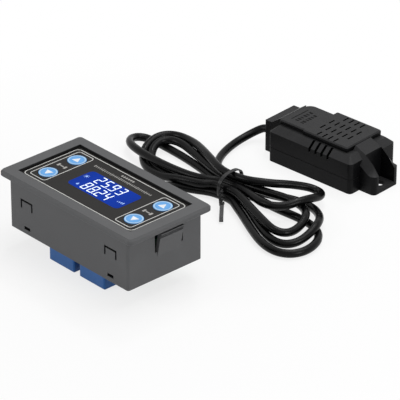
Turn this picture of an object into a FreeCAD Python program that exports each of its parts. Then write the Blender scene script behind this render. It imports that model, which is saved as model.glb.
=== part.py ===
import FreeCAD, Part
import math
import os
from FreeCAD import Vector

# Panel temperature and humidity controller with its probe on a lead.
# Millimetres. X runs along the long side, +Z is the front, Z 0 is the flange's seat on the panel.

# Housing: flange, walls and window
flange_length = 79.0
flange_width = 43.0
flange_thickness = 2.5
flange_corner = 2.2
flange_edge_chamfer = 0.8
flange_edge_break = 0.3
body_length = 71.0
body_width = 38.5
body_depth = 22.2
body_corner = 1.0
body_wall = 1.8
window_length = 67.3
window_width = 32.4
window_corner = 0.3

# End latches that grip the panel
latch_width = 12.0
latch_offset = 2.0
latch_slot = 1.3
latch_foot = 12.6
latch_slot_depth = 10.4
latch_slot_top = 1.2
latch_head = 1.8
latch_reach = 2.4
latch_thickness = 2.0
latch_tooth = 0.45
latch_pitch = 1.1

# Board snaps and rear windows in the long walls
snap_spacing = 50.4
snap_width = 5.5
snap_slot = 0.9
snap_foot = 11.2
snap_barb = 0.9
snap_barb_land = 0.4
rear_window_spacing = 50.2
rear_window_width = 3.6
rear_window_height = 1.45
rear_window_depth = 19.6
stop_rib_spacing = 24.0
stop_rib_width = 1.4
stop_rib_reach = 1.3
wire_gap_left = -27.0
wire_gap_right = 30.5

# Front plate and printed film
panel_gap = 0.4
plate_thickness = 1.6
film_thickness = 0.4
film_recess = 1.1
film_corner = 0.5
post_size = 3.0
post_spacing_x = 62.0
post_spacing_y = 26.0
pin_size = 1.5
pin_clearance = 0.05

# Keys and their switches
key_diameter = 7.8
key_clearance = 0.2
key_proud = 0.15
key_flange_size = 9.2
key_flange_thickness = 0.8
key_travel = 0.3
key_spacing_x = 51.4
key_upper_y = 7.7
key_lower_y = -7.3
switch_size = 6.0
switch_height = 3.5
switch_edge = 0.5
plunger_size = 3.4
plunger_clearance = 0.05
plunger_depth = 1.1
plunger_overtravel = 0.1
switch_leg_width = 0.7
switch_leg_thickness = 0.3
switch_leg_pitch = 4.5

# Display
lcd_length = 30.7
lcd_width = 14.15
lcd_offset_x = -0.25
lcd_offset_y = 0.5
lcd_clearance = 0.1
lcd_sunk = 0.05
lcd_ledge_x = 2.0
lcd_ledge_y = 2.2
lcd_rear_glass = 2.0
lcd_pin_count = 11
lcd_pin_pitch = 2.54
lcd_pin_width = 0.5
lcd_pin_thickness = 0.4
lcd_pin_drop = 0.3
backlight_foot = 3.0
backlight_notch = 1.0

# Circuit boards
board_thickness = 1.6
board_gap = 0.25
board_corner = 0.8
display_board_front = 6.4
boards_apart = 5.2
lead_proud = 0.8
header_count = 7
header_pitch = 2.54
header_width = 2.5
header_inset = 2.25
header_socket_height = 3.0
header_pin_size = 0.64
header_pin_inset = 0.6
spacer_size = 4.0
spacer_sides = 6
spacer_inset = 2.45
spacer_spacing_y = 16.0
chip_length = 10.0
chip_width = 7.5
chip_height = 2.3
chip_lead_count = 7
chip_lead_pitch = 1.27
chip_standoff = 0.1
chip_lead_width = 0.4
chip_lead_thickness = 0.25
chip_lead_drop = 1.2
chip_lead_knee = 0.6
chip_lead_slope = 0.3
chip_lead_reach = 1.4

# Relays and small parts on the power board
relay_width = 15.3
relay_length = 19.0
relay_height = 15.4
relay_corner = 0.9
relay_foot_edge = 0.5
relay_left_x = -7.4
relay_right_x = 10.9
relay_margin = 0.45
relay_pin_size = 0.9
relay_pin_x = 6.0
relay_pin_y = 6.1
relay_coil_pin_y = 8.0
lead_length = 2.4
capacitor_diameter = 6.3
capacitor_height = 7.0
capacitor_vent_edge = 0.4
capacitor_x = -25.0
capacitor_spacing_y = 9.0
small_part_gap = 3.0
transistor_width = 4.6
transistor_depth = 3.6
transistor_height = 4.8
transistor_offset_y = 7.0
diode_size = 2.7
diode_length = 5.2
diode_offset_y = -3.0
diode_lead = 0.6
diode_lead_reach = 1.0
regulator_x = 27.0
regulator_offset_y = -4.0
regulator_width = 6.6
regulator_length = 6.1
regulator_height = 2.3
regulator_tab_width = 5.3
regulator_tab_length = 1.8
regulator_tab_thickness = 0.8
regulator_leg_width = 0.8
regulator_leg_length = 2.6
regulator_leg_thickness = 0.6
regulator_leg_count = 3
regulator_leg_pitch = 2.3

# Terminal block and sensor socket
terminal_count = 8
terminal_pitch = 5.08
terminal_left_x = -12.5
terminal_relay_gap = 4.15
terminal_depth = 8.6
terminal_height = 9.8
terminal_step = 6.0
terminal_slope = 2.4
terminal_floor = 1.0
terminal_entry_width = 3.4
terminal_entry_height = 3.4
terminal_wall = 0.45
terminal_screw_inset = 3.5
terminal_screw_size = 3.2
terminal_screw_sunk = 0.7
terminal_screw_head = 1.4
terminal_screw_slot = 0.6
terminal_shank_size = 2.0
terminal_cage_length = 4.4
terminal_pin_size = 1.0
terminal_clearance = 0.05
socket_x = -20.0
socket_width = 10.0
socket_height = 6.2
socket_length = 6.6
socket_wall = 0.8
socket_past_terminals = 0.2
socket_back = 1.4
socket_keyway_width = 2.0
socket_keyway_inset = 3.0
plug_clearance = 0.05
plug_length = 9.0
plug_boot_length = 4.0
plug_boot_wall = 0.45
plug_boot_end_wall = 0.15
socket_pin_count = 4
socket_pin_pitch = 2.0
socket_pin_size = 0.5
socket_pin_tail = 0.6
socket_pin_reach = 4.6

# Probe
probe_x = -16.70
probe_y = 105.03
probe_yaw = 4.8
probe_length = 45.0
probe_width = 28.5
probe_side_height = 13.7
probe_top_height = 16.1
probe_shoulder = 2.8
probe_split = 6.3
probe_seam = 0.35
probe_roof_drop = 0.4
probe_join_round = 0.3
probe_wall = 1.6
probe_floor = 1.8
probe_corner_left = 1.3
probe_corner_right = 1.7
entry_length = 7.5
entry_width = 18.0
entry_start = 5.8
entry_height = 14.5
entry_corner = 1.0
entry_far_corner = 3.9
entry_flat = 4.0
entry_edge = 0.6
grille_left = 2.1
grille_step = 15.4
grille_right = 39.7
grille_narrow = (4.3, 23.4)
grille_wide = (3.7, 26.0)
grille_proud = 2.4
grille_left_corners = (4.0, 1.0)
grille_right_corner = 0.9
pedestal_inset = 0.3
grille_thickness = 1.3
grille_skirt_insets = (2.2, 1.6, 1.6, 1.0)
grille_skirt_clearance = 0.08
grille_skirt_wall = 1.4
grille_edge = 0.5
vent_length = 3.4
vent_width = 0.8
vent_pitch = 3.0
vent_row_pitch = 5.6
vent_centre_u = 27.2
vent_centre_v = 14.5
vent_rows = (4, 6, 6, 4)
side_vent_first = 22.6
side_vent_pitch = 3.27
side_vent_count = 4
side_vent_width = 1.2
side_vent_drop = 1.9
side_vent_height = 4.4
side_vent_depth = 4.5
ear_length = 8.0
ear_start = 5.8
ear_steps = ((5.9, 2.6, 7.0), (9.7, 5.6, 9.6))
ear_flank = 3.0
ear_flank_drop = 3.5
ear_width = 15.7
ear_end_height = 8.2
ear_corner = 2.0
ear_floor = 1.8
ear_pocket_width = 9.9
ear_pocket_wall = 0.6
ear_hole_diameter = 4.5
ear_hole_inset = 4.0
probe_board_length = 26.0
probe_board_width = 16.0
probe_board_thickness = 1.0
probe_boss_height = 3.0
probe_boss_size = 4.0
probe_boss_inset = 2.5
sensor_length = 5.0
sensor_width = 6.0
sensor_height = 2.4
sensor_offset_u = 2.0
sensor_port = 2.6
sensor_port_depth = 0.8
grommet_diameter = 6.0
grommet_length = 5.0
grommet_proud = 1.4
grommet_v = 12.6
grommet_wall = 0.5
grommet_clearance = 0.01
cable_way_clearance = 0.3

# Lead
cable_diameter = 3.5
hank_height = 7.6
hank_edge = 1.8
lead_sides = 10
left_loop_centre = (-45.0, 73.0)
left_loop_size = (48.0, 37.0)
right_loop_centre = (24.5, 75.0)
right_loop_size = (60.0, 52.0)
loop_squareness = 0.4
waist_centre = (-8.4, 71.3)
waist_turn = 8.0
waist_length = 40.0
waist_width = 14.0
waist_height = 11.2
waist_edge = 2.6
tie_width = 3.2
tie_thickness = 0.8
tie_tail_end = (9.1, 54.4)
lead_straight_at_plug = 9.5
lead_straight_at_probe = 5.5

# Modelling allowances
fuse_overlap = 0.2
true_round = 2.0
turned_sides = 16

# Derived levels
floor_z = -(display_board_front + 2 * board_thickness + boards_apart + relay_height)
film_top_z = flange_thickness - film_recess
plate_top_z = film_top_z - film_thickness
plate_rear_z = plate_top_z - plate_thickness
display_front_z = -display_board_front
display_rear_z = display_front_z - board_thickness
power_front_z = display_rear_z - boards_apart
power_rear_z = power_front_z - board_thickness
cavity_length = body_length - 2 * body_wall
cavity_width = body_width - 2 * body_wall
plate_length = window_length - 2 * panel_gap
plate_width = window_width - 2 * panel_gap
board_length = cavity_length - 2 * board_gap
board_width = cavity_width - 2 * board_gap
key_hole_diameter = key_diameter + 2 * key_clearance
key_places = {
    "left_up": (-key_spacing_x / 2, key_upper_y),
    "left_down": (-key_spacing_x / 2, key_lower_y),
    "right_up": (key_spacing_x / 2, key_upper_y),
    "right_down": (key_spacing_x / 2, key_lower_y),
}
header_x = -board_length / 2 + header_inset
spacer_x = board_length / 2 - spacer_inset
relay_y = -board_width / 2 + relay_margin + relay_length / 2
terminal_back_y = relay_y + relay_length / 2 + terminal_relay_gap
terminal_front_y = terminal_back_y + terminal_depth
terminal_screw_y = terminal_back_y + terminal_screw_inset
socket_front_y = terminal_front_y + socket_past_terminals
plug_axis_z = power_rear_z - socket_height / 2
cable_floor_z = floor_z + cable_diameter / 2
probe_cable_height = probe_split
grille_height = probe_top_height + grille_proud


def block(x0, x1, y0, y1, z0, z1):
    return Part.makeBox(x1 - x0, y1 - y0, z1 - z0, Vector(x0, y0, z0))


def centred_block(x, y, length, width, z0, z1):
    return block(x - length / 2, x + length / 2, y - width / 2, y + width / 2, z0, z1)


def rod(x, y, z0, z1, diameter):
    return Part.makeCylinder(diameter / 2, z1 - z0, Vector(x, y, z0))


def flat_sided_rod(x, y, z0, z1, width, sides=8):
    # a regular bar of that width across its flats
    radius = width / 2 / math.cos(math.pi / sides)
    turns = [2 * math.pi * (index + 0.5) / sides for index in range(sides)]
    corners = [(x + radius * math.cos(turn), y + radius * math.sin(turn)) for turn in turns]
    return prism(corners, "z", z0, z1)


def rounded_slab(x0, x1, y0, y1, z0, z1, radii):
    # radii follow the corners (x1, y1), (x0, y1), (x0, y0), (x1, y0); a small corner is cut in flats
    corners = ((x1, y1, -1, -1), (x0, y1, 1, -1), (x0, y0, 1, 1), (x1, y0, -1, 1))
    edges = []
    ends = []
    for index, (x, y, into_x, into_y) in enumerate(corners):
        radius = radii[index]
        centre = Vector(x + into_x * radius, y + into_y * radius, z0)
        steps = (0, 45, 90) if radius >= true_round else (0, 30, 60, 90)
        turns = [math.radians(90 * index + step) for step in steps]
        points = [centre + Vector(radius * math.cos(a), radius * math.sin(a), 0) for a in turns]
        if radius >= true_round:
            edges.append(Part.Arc(*points).toShape())
        else:
            edges += [Part.LineSegment(a, b).toShape() for a, b in zip(points, points[1:])]
        ends.append((points[0], points[-1]))
    for index in range(4):
        edges.append(Part.LineSegment(ends[index][1], ends[(index + 1) % 4][0]).toShape())
    outline = Part.Wire(Part.__sortEdges__(edges))
    return Part.Face(outline).extrude(Vector(0, 0, z1 - z0))


def centred_slab(x, y, length, width, z0, z1, radius):
    sides = (x - length / 2, x + length / 2, y - width / 2, y + width / 2)
    return rounded_slab(*sides, z0, z1, [radius] * 4)


def prism(points, axis, start, end):
    # points are (y, z) for axis x, (x, z) for axis y and (x, y) for axis z
    if axis == "x":
        corners = [Vector(start, a, b) for a, b in points]
        path = Vector(end - start, 0, 0)
    elif axis == "y":
        corners = [Vector(a, start, b) for a, b in points]
        path = Vector(0, end - start, 0)
    else:
        corners = [Vector(a, b, start) for a, b in points]
        path = Vector(0, 0, end - start)
    return Part.Face(Part.makePolygon(corners + corners[:1])).extrude(path)


def edges_at(shape, z):
    return [edge for edge in shape.Edges if all(abs(v.Z - z) < 1e-6 for v in edge.Vertexes)]


def revolve_profile(points, centre, axis):
    # points are (radius, along) pairs; the axis runs from centre
    face = Part.Face(Part.makePolygon([Vector(r, 0, along) for r, along in points + points[:1]]))
    solid = face.revolve(Vector(0, 0, 0), Vector(0, 0, 1), 360)
    solid.Placement = FreeCAD.Placement(centre, FreeCAD.Rotation(Vector(0, 0, 1), axis))
    return solid


def row(count, pitch):
    return [(index - (count - 1) / 2) * pitch for index in range(count)]


def export(name, shape):
    shape.exportStep("parts/" + name + ".step")
    return shape


# Housing

def end_latch():
    # A leaning tongue with a toothed head, for the wall at +X
    wall_in = body_length / 2 - body_wall
    wall_out = body_length / 2
    head_out = wall_out + latch_reach
    profile = [(wall_in, -latch_foot), (wall_out, -latch_foot)]
    for tooth in (2, 1):
        tip_x = head_out - (tooth - 0.4) * latch_tooth
        tip_z = -latch_head - tooth * latch_pitch
        profile += [(tip_x, tip_z), (tip_x - latch_tooth, tip_z + 0.2 * latch_pitch)]
    profile += [(head_out, -latch_head - 0.4 * latch_pitch), (head_out, -latch_head)]
    profile += [(head_out - latch_thickness, -latch_head)]
    low = latch_offset - latch_width / 2
    return prism(profile, "y", low, low + latch_width)


def latch_window():
    low = latch_offset - latch_width / 2 - latch_slot
    high = latch_offset + latch_width / 2 + latch_slot
    return block(body_length / 2 - body_wall - 1, body_length / 2 + 1, low, high,
                 -latch_slot_depth, -latch_slot_top)


def snap_tab_slot(x):
    # An n-shaped slot that frees a tab in a long wall, cut through both long walls
    top = display_rear_z + snap_slot
    outer = centred_block(x, 0, snap_width + 2 * snap_slot, body_width + 2, -snap_foot, top)
    tab = centred_block(x, 0, snap_width, body_width + 4, -snap_foot, display_rear_z)
    return outer.cut(tab)


def snap_barb_pair(x):
    # Wedges on the tabs' inner faces that sit behind the display board
    inner = cavity_width / 2
    root = inner + fuse_overlap
    wedge = [(root, display_rear_z), (inner - snap_barb, display_rear_z),
             (inner - snap_barb, display_rear_z - snap_barb_land), (inner, -snap_foot), (root, -snap_foot)]
    near = prism([(-y, z) for y, z in wedge], "x", x - snap_width / 2, x + snap_width / 2)
    far = prism(wedge, "x", x - snap_width / 2, x + snap_width / 2)
    return [near, far]


def stop_ribs():
    ribs = []
    for x in (-stop_rib_spacing / 2, stop_rib_spacing / 2):
        for side in (-1, 1):
            inner = side * (cavity_width / 2 - stop_rib_reach)
            outer = side * (cavity_width / 2 + fuse_overlap)
            ribs.append(block(x - stop_rib_width / 2, x + stop_rib_width / 2,
                              min(inner, outer), max(inner, outer), display_front_z, 0))
    return ribs


def housing():
    flange = centred_slab(0, 0, flange_length, flange_width, 0, flange_thickness, flange_corner)
    flange = flange.makeChamfer(flange_edge_chamfer, edges_at(flange, flange_thickness))
    flange = flange.makeChamfer(flange_edge_break, edges_at(flange, 0))
    walls = centred_slab(0, 0, body_length, body_width, -body_depth, 0, body_corner)
    walls = walls.cut(centred_block(0, 0, cavity_length, cavity_width, -body_depth - 1, 0))
    window = centred_slab(0, 0, window_length, window_width, -1, flange_thickness + 1, window_corner)
    cuts = [latch_window(), latch_window().mirror(Vector(), Vector(1, 0, 0))]
    for x in (-snap_spacing / 2, snap_spacing / 2):
        cuts.append(snap_tab_slot(x))
    window_low = -rear_window_depth - rear_window_height / 2
    for x in (-rear_window_spacing / 2, rear_window_spacing / 2):
        cuts.append(block(x - rear_window_width / 2, x + rear_window_width / 2,
                          -body_width / 2 - 1, -cavity_width / 2 + 1,
                          window_low, window_low + rear_window_height))
    cuts.append(block(wire_gap_left, wire_gap_right, cavity_width / 2 - 1, body_width / 2 + 1,
                      -body_depth - 1, power_rear_z))
    shell = flange.fuse(walls).cut(window).cut(cuts)
    latches = [end_latch(), end_latch().mirror(Vector(), Vector(1, 0, 0))]
    barbs = []
    for x in (-snap_spacing / 2, snap_spacing / 2):
        barbs += snap_barb_pair(x)
    return shell.fuse(latches + barbs + stop_ribs()).removeSplitter()


# Front plate, film and keys

def lcd_outline(clearance, z0, z1):
    return centred_block(lcd_offset_x, lcd_offset_y, lcd_length + 2 * clearance,
                         lcd_width + 2 * clearance, z0, z1)


def front_openings(z0, z1, sides):
    holes = [flat_sided_rod(x, y, z0, z1, key_hole_diameter, sides) for x, y in key_places.values()]
    return holes + [lcd_outline(lcd_clearance, z0, z1)]


def post_places():
    return [(x, y) for x in (-post_spacing_x / 2, post_spacing_x / 2)
            for y in (-post_spacing_y / 2, post_spacing_y / 2)]


def front_plate():
    plate = centred_slab(0, 0, plate_length, plate_width, plate_rear_z, plate_top_z, film_corner)
    plate = plate.cut(front_openings(plate_rear_z - 1, plate_top_z + 1, turned_sides))
    posts = []
    for x, y in post_places():
        posts.append(centred_block(x, y, post_size, post_size, display_front_z, plate_rear_z + fuse_overlap))
        posts.append(flat_sided_rod(x, y, display_rear_z - lead_proud, display_front_z + fuse_overlap,
                                   pin_size))
    return plate.fuse(posts).removeSplitter()


def front_film():
    film = centred_slab(0, 0, plate_length, plate_width, plate_top_z, film_top_z, film_corner)
    return film.cut(front_openings(plate_top_z - 1, film_top_z + 1, 2 * turned_sides))


def key_cap(x, y):
    # A round cap on a wider flange that the front plate retains
    top = film_top_z + key_proud
    cap = rod(x, y, plate_rear_z - key_flange_thickness / 2, top, key_diameter)
    retainer = flat_sided_rod(x, y, plate_rear_z - key_flange_thickness, plate_rear_z, key_flange_size)
    return cap.fuse(retainer).removeSplitter()


def plunger(x, y):
    top = plate_rear_z - key_flange_thickness
    bottom = display_front_z + switch_height - plunger_depth
    return flat_sided_rod(x, y, bottom, top, plunger_size)


def switch_legs(x, y):
    legs = []
    for side in (-1, 1):
        outer = side * (switch_size / 2 + switch_leg_thickness)
        inner = side * switch_size / 2
        for offset in (-switch_leg_pitch / 2, switch_leg_pitch / 2):
            legs.append(block(x + min(inner, outer), x + max(inner, outer),
                              y + offset - switch_leg_width / 2, y + offset + switch_leg_width / 2,
                              display_rear_z - lead_proud, display_front_z + switch_height / 2))
    return legs


def tact_switch(x, y):
    top = display_front_z + switch_height
    body = centred_block(x, y, switch_size, switch_size, display_front_z, top)
    body = body.makeChamfer(switch_edge, edges_at(body, top))
    bore = flat_sided_rod(x, y, top - plunger_depth - key_travel - plunger_overtravel, top + 1,
                          plunger_size + 2 * plunger_clearance)
    return body.cut(bore).fuse(switch_legs(x, y)).removeSplitter()


# Display

def lcd_glass():
    front = lcd_outline(0, plate_rear_z - fuse_overlap, film_top_z - lcd_sunk)
    rear = centred_block(lcd_offset_x, lcd_offset_y, lcd_length + 2 * lcd_ledge_x,
                         lcd_width + 2 * lcd_ledge_y, plate_rear_z - lcd_rear_glass, plate_rear_z)
    return front.fuse(rear).removeSplitter()


def lcd_backlight():
    block_length = lcd_length + 2 * lcd_ledge_x
    block_width = lcd_width + 2 * lcd_ledge_y
    frame = centred_block(lcd_offset_x, lcd_offset_y, block_length, block_width,
                          display_front_z, plate_rear_z - lcd_rear_glass)
    notch = centred_block(lcd_offset_x, lcd_offset_y, block_length - 2 * backlight_foot, block_width + 1,
                          display_front_z - 1, display_front_z + backlight_notch)
    return frame.cut(notch)


def lcd_pins():
    edge = lcd_offset_y + lcd_width / 2 + lcd_ledge_y
    return [block(lcd_offset_x + x - lcd_pin_width / 2, lcd_offset_x + x + lcd_pin_width / 2,
                  edge, edge + lcd_pin_thickness, display_rear_z - lead_proud, plate_rear_z - lcd_pin_drop)
            for x in row(lcd_pin_count, lcd_pin_pitch)]


# Boards and what joins them

def board(z0):
    return centred_slab(0, 0, board_length, board_width, z0, z0 + board_thickness, board_corner)


def display_board():
    plate = board(display_rear_z)
    cuts = list(lcd_pins())
    for x, y in key_places.values():
        cuts += switch_legs(x, y)
    for x, y in post_places():
        cuts.append(flat_sided_rod(x, y, display_rear_z - 1, display_front_z + 1, pin_size + 2 * pin_clearance))
    return plate.cut(cuts)


def header_pin_places():
    return [(header_x, y) for y in row(header_count, header_pitch)]


def header_pins():
    top = power_front_z + boards_apart - header_pin_inset
    return [centred_block(x, y, header_pin_size, header_pin_size, power_rear_z - lead_proud, top)
            for x, y in header_pin_places()]


def header_body(z0, z1):
    body = centred_block(header_x, 0, header_width, header_count * header_pitch, z0, z1)
    return body.cut(header_pins())


def board_spacers():
    return [flat_sided_rod(spacer_x, y, power_front_z, display_rear_z, spacer_size, spacer_sides)
            for y in (-spacer_spacing_y / 2, spacer_spacing_y / 2)]


def controller_chip():
    # A flat package with bent leads along its two long sides
    body = centred_block(0, 0, chip_length, chip_width, display_rear_z - chip_height,
                         display_rear_z - chip_standoff)
    half = chip_width / 2
    root = half - fuse_overlap
    knee = half + chip_lead_knee
    tip = half + chip_lead_reach
    high = display_rear_z - chip_lead_drop
    low = display_rear_z - chip_lead_thickness
    slope = chip_lead_slope
    foot = [(root, high), (knee, high), (knee + slope, low), (tip, low), (tip, display_rear_z),
            (knee + slope - chip_lead_thickness, display_rear_z),
            (knee - chip_lead_thickness, high + chip_lead_thickness), (root, high + chip_lead_thickness)]
    leads = []
    for x in row(chip_lead_count, chip_lead_pitch):
        left = x - chip_lead_width / 2
        leads.append(prism(foot, "x", left, left + chip_lead_width))
        leads.append(prism([(-y, z) for y, z in foot], "x", left, left + chip_lead_width))
    return body.fuse(leads)


def power_board():
    cuts = relay_pins() + terminal_pins() + header_pins()
    return board(power_rear_z).cut(cuts)


# Relays and small parts

def relay(x):
    base = power_rear_z
    low = base - relay_height
    case = centred_slab(x, relay_y, relay_width, relay_length, low, base, relay_corner)
    return case.makeChamfer(relay_foot_edge, edges_at(case, low))


def relay_pins():
    pins = []
    for x in (relay_left_x, relay_right_x):
        places = [(side * relay_pin_x, end * relay_pin_y) for side in (-1, 1) for end in (-1, 1)]
        places.append((0, relay_coil_pin_y))
        for across, along in places:
            pins.append(centred_block(x + across, relay_y + along, relay_pin_size, relay_pin_size,
                                      power_rear_z, power_rear_z + lead_length))
    return pins


def capacitors():
    cans = []
    for y in (-capacitor_spacing_y, 0):
        low = power_rear_z - capacitor_height
        can = flat_sided_rod(capacitor_x, relay_y / 2 + y, low, power_rear_z, capacitor_diameter, turned_sides)
        cans.append(can.makeChamfer(capacitor_vent_edge, edges_at(can, low)))
    return cans


def small_part_columns():
    # The free strips beside the two relays
    left = relay_left_x - relay_width / 2 - small_part_gap
    right = relay_right_x + relay_width / 2 + small_part_gap
    return (left, right)


def transistors():
    # Moulded bodies with a flat front and a narrower back
    bodies = []
    for x in small_part_columns():
        y = relay_y + transistor_offset_y
        half = transistor_width / 2
        back = transistor_depth - half
        outline = [(x + back, y - half), (x + back, y + half), (x, y + half), (x - half, y + half / 2),
                   (x - half, y - half / 2), (x, y - half)]
        bodies.append(prism(outline, "z", power_rear_z - transistor_height, power_rear_z))
    return bodies


def diodes():
    # Moulded bodies lying along Y, with their leads bent down to the board
    bodies = []
    for x in small_part_columns():
        axis_z = power_rear_z - diode_size / 2
        middle = relay_y + diode_offset_y
        body = centred_block(x, middle, diode_size, diode_length, power_rear_z - diode_size, power_rear_z)
        leads = []
        for side in (-1, 1):
            outer = middle + side * (diode_length / 2 + diode_lead_reach)
            y = outer - side * diode_lead / 2
            leads.append(centred_block(x, y, diode_lead, diode_lead, axis_z - diode_lead / 2, power_rear_z))
            reach = middle + side * (diode_length / 2 + diode_lead_reach / 2)
            leads.append(centred_block(x, reach, diode_lead, diode_lead_reach,
                                       axis_z - diode_lead / 2, axis_z + diode_lead / 2))
        bodies.append(body.fuse(leads).removeSplitter())
    return bodies


def regulator():
    # A power package lying flat, with its tab beyond the moulded body
    middle = relay_y + regulator_offset_y
    back = middle - regulator_length / 2
    body = centred_block(regulator_x, middle, regulator_width, regulator_length,
                         power_rear_z - regulator_height, power_rear_z)
    tab = centred_block(regulator_x, back - regulator_tab_length / 2 + fuse_overlap, regulator_tab_width,
                        regulator_tab_length, power_rear_z - regulator_tab_thickness, power_rear_z)
    front = middle + regulator_length / 2 + regulator_leg_length / 2 - fuse_overlap
    legs = [centred_block(regulator_x + x, front, regulator_leg_width, regulator_leg_length,
                          power_rear_z - regulator_leg_thickness, power_rear_z)
            for x in row(regulator_leg_count, regulator_leg_pitch)]
    return body.fuse([tab] + legs).removeSplitter()


# Terminal block and sensor connector

def terminal_centres():
    return [terminal_left_x + (index + 0.5) * terminal_pitch for index in range(terminal_count)]


def terminal_pins():
    return [centred_block(x, terminal_screw_y, terminal_pin_size, terminal_pin_size,
                          power_rear_z - terminal_floor, power_rear_z + lead_length)
            for x in terminal_centres()]


def terminal_entry_top():
    return power_rear_z - terminal_floor


def terminal_clamp(x, pin):
    # A square cage open along Y, with the pin that goes through the board
    top = terminal_entry_top()
    width = terminal_entry_width - 2 * terminal_clearance
    low = top - terminal_entry_height + terminal_clearance
    cage = centred_block(x, terminal_screw_y, width, terminal_cage_length, low, top)
    way = centred_block(x, terminal_screw_y, width - 2 * terminal_wall, terminal_cage_length + 1,
                        low + terminal_wall, top - terminal_wall)
    return cage.cut(way).fuse(pin).removeSplitter()


def terminal_clamps():
    return [terminal_clamp(x, pin) for x, pin in zip(terminal_centres(), terminal_pins())]


def terminal_screws():
    low = power_rear_z - terminal_height + terminal_screw_sunk
    screws = []
    for x in terminal_centres():
        head = flat_sided_rod(x, terminal_screw_y, low, low + terminal_screw_head, terminal_screw_size)
        slot = centred_block(x, terminal_screw_y, terminal_screw_size + 1, terminal_screw_slot,
                             low - 1, low + terminal_screw_head / 2)
        cage_low = terminal_entry_top() - terminal_entry_height + terminal_clearance
        shank = flat_sided_rod(x, terminal_screw_y, low + terminal_screw_head - fuse_overlap, cage_low,
                               terminal_shank_size)
        screws.append(head.cut(slot).fuse(shank).removeSplitter())
    return screws


def terminal_block():
    low = power_rear_z - terminal_height
    section = [(terminal_back_y, power_rear_z), (terminal_front_y, power_rear_z),
               (terminal_front_y, power_rear_z - terminal_step),
               (terminal_front_y - terminal_slope, low), (terminal_back_y, low)]
    body = prism(section, "x", terminal_left_x, terminal_left_x + terminal_count * terminal_pitch)
    top = terminal_entry_top()
    cuts = terminal_pins()
    for x in terminal_centres():
        cuts.append(block(x - terminal_entry_width / 2, x + terminal_entry_width / 2,
                          terminal_screw_y - terminal_cage_length / 2 - terminal_clearance,
                          terminal_front_y + 1, top - terminal_entry_height, top))
        cuts.append(flat_sided_rod(x, terminal_screw_y, low - 1, top - terminal_entry_height + fuse_overlap,
                                   terminal_screw_size + 4 * terminal_clearance))
    return body.cut(cuts)


def sensor_socket():
    back = socket_front_y - socket_length
    low = power_rear_z - socket_height
    body = block(socket_x - socket_width / 2, socket_x + socket_width / 2, back, socket_front_y,
                 low, power_rear_z)
    cavity = block(socket_x - socket_width / 2 + socket_wall, socket_x + socket_width / 2 - socket_wall,
                   back + socket_back, socket_front_y + 1, low + socket_wall, power_rear_z - socket_wall)
    keyway = block(socket_x - socket_keyway_width / 2, socket_x + socket_keyway_width / 2,
                   back + socket_keyway_inset, socket_front_y + 1, low - 1, low + socket_wall + fuse_overlap)
    return body.cut([cavity, keyway] + sensor_socket_pins())


def sensor_socket_pins():
    back = socket_front_y - socket_length
    return [block(socket_x + x - socket_pin_size / 2, socket_x + x + socket_pin_size / 2,
                  back - socket_pin_tail, back + socket_pin_reach, plug_axis_z - socket_pin_size / 2,
                  plug_axis_z + socket_pin_size / 2) for x in row(socket_pin_count, socket_pin_pitch)]


def plug_back_y():
    return socket_front_y - socket_length + socket_back + plug_clearance


def sensor_plug():
    # The lead's connector: a block in the socket and a tapered boot round the cable
    back = plug_back_y()
    front = back + plug_length
    width = socket_width - 2 * socket_wall - 2 * plug_clearance
    height = socket_height - 2 * socket_wall - 2 * plug_clearance
    body = block(socket_x - width / 2, socket_x + width / 2, back, front,
                 plug_axis_z - height / 2, plug_axis_z + height / 2)
    wide = cable_diameter / 2 + plug_boot_wall
    boot = revolve_profile([(0, -fuse_overlap), (wide, -fuse_overlap),
                            (cable_diameter / 2 + plug_boot_end_wall, plug_boot_length), (0, plug_boot_length)],
                           Vector(socket_x, front, plug_axis_z), Vector(0, 1, 0))
    return body.fuse(boot).removeSplitter().cut(sensor_socket_pins())


def plug_end():
    return Vector(socket_x, plug_back_y() + plug_length + plug_boot_length, plug_axis_z)


# Probe, in its own frame: U along the case, V across it, height from the floor

def place_probe(shape):
    placed = shape.copy()
    turn = FreeCAD.Rotation(Vector(0, 0, 1), probe_yaw)
    placed.Placement = FreeCAD.Placement(Vector(probe_x, probe_y, floor_z), turn)
    return placed


def probe_point(u, v, height):
    turn = FreeCAD.Rotation(Vector(0, 0, 1), probe_yaw)
    return turn.multVec(Vector(u, v, height)) + Vector(probe_x, probe_y, floor_z)


def case_slab(inset, h0, h1):
    left = max(probe_corner_left - inset, probe_join_round)
    right = max(probe_corner_right - inset, probe_join_round)
    return rounded_slab(inset, probe_length - inset, inset, probe_width - inset, h0, h1,
                        [right, left, left, right])


def entry_block(h0, h1):
    return rounded_slab(-entry_length, probe_wall - fuse_overlap, entry_start, entry_start + entry_width,
                        h0, h1, [probe_join_round, entry_corner, entry_corner, probe_join_round])


def hood_line(level):
    # The hood's outline as (u, height), along its crest at level 0 and along its flanks at level 1
    start = grille_right + pedestal_inset
    top = grille_height - grille_edge
    line = [(start, top - level * ear_flank_drop)]
    line += [(start + step[0], top - step[1 + level]) for step in ear_steps]
    return line + [(probe_length + ear_length, ear_end_height)]


def hood_space():
    # All that lies over the hood: level over the crest, and falling to a flank on each side
    end = probe_length + ear_length
    spaces = []
    above = [(end + 1, ear_end_height), (end + 1, grille_height + 2), (grille_right, grille_height + 2)]
    spaces.append(prism(hood_line(0) + above, "y", ear_start - 1, ear_start + ear_width + 1))
    for side in (-1, 1):
        crest_v = ear_middle() + side * (ear_width / 2 - ear_flank)
        rims = []
        for level, v in ((0, crest_v), (1, crest_v + side * ear_flank)):
            corners = [Vector(u, v, height) for u, height in hood_line(level) + above]
            rims.append(Part.makePolygon(corners + corners[:1]))
        spaces.append(Part.makeLoft(rims, True, True))
    return spaces


def ear_middle():
    return ear_start + ear_width / 2


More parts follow.
